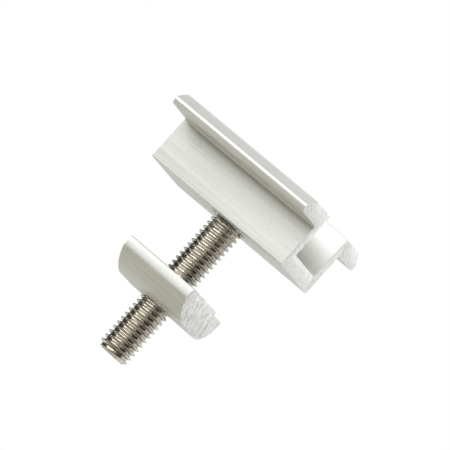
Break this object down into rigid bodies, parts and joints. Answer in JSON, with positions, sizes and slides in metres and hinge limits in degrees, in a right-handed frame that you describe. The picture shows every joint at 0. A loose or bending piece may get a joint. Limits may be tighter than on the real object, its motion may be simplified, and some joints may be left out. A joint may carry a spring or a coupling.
{
  "type": "solar mid clamp",
  "caption": "Winged aluminium channel clamp with a socket cap screw, split lock washer and rail nut, for holding two solar module frames on a rail.",
  "frame": {"origin": "on the screw axis, at the underside of the channel's web, which faces the rail", "axes": "+X along the clamp's extrusion, +Y across it towards one wing, +Z along the screw from its point to its head"},
  "size_m": [0.04, 0.0386, 0.0525],
  "materials": {
    "anodised_aluminium": "satin clear anodised extrusion with sawn ends",
    "stainless_steel": "bright rolled thread",
    "spring_stainless": "drawn, slightly dull",
    "sawn_aluminium": "mill finish extrusion with sawn ends"
  },
  "bodies": {
    "clamp": {"clamp_channel": "anodised_aluminium"},
    "lock_washer": {"split_lock_washer": "spring_stainless"},
    "screw": {"socket_cap_screw": "stainless_steel"},
    "nut": {"rail_nut": "sawn_aluminium"}
  },
  "joints": [
    {"name": "screw_lift", "type": "slide", "parent": "clamp", "child": "lock_washer", "axis": [0, 0, 1], "range_m": [0, 0.0044]},
    {"name": "screw_turn", "type": "hinge", "parent": "lock_washer", "child": "screw", "pos_m": [0, 0, 0], "axis": [0, 0, 1], "range_deg": [-3240, 3960]},
    {"name": "nut_travel", "type": "slide", "parent": "lock_washer", "child": "nut", "axis": [0, 0, 1], "range_m": [-0.01375, 0.01125]}
  ],
  "couplings": [
    {"joint": "nut_travel", "follows": "screw_turn", "m_per_rad": -0.00019894}
  ]
}
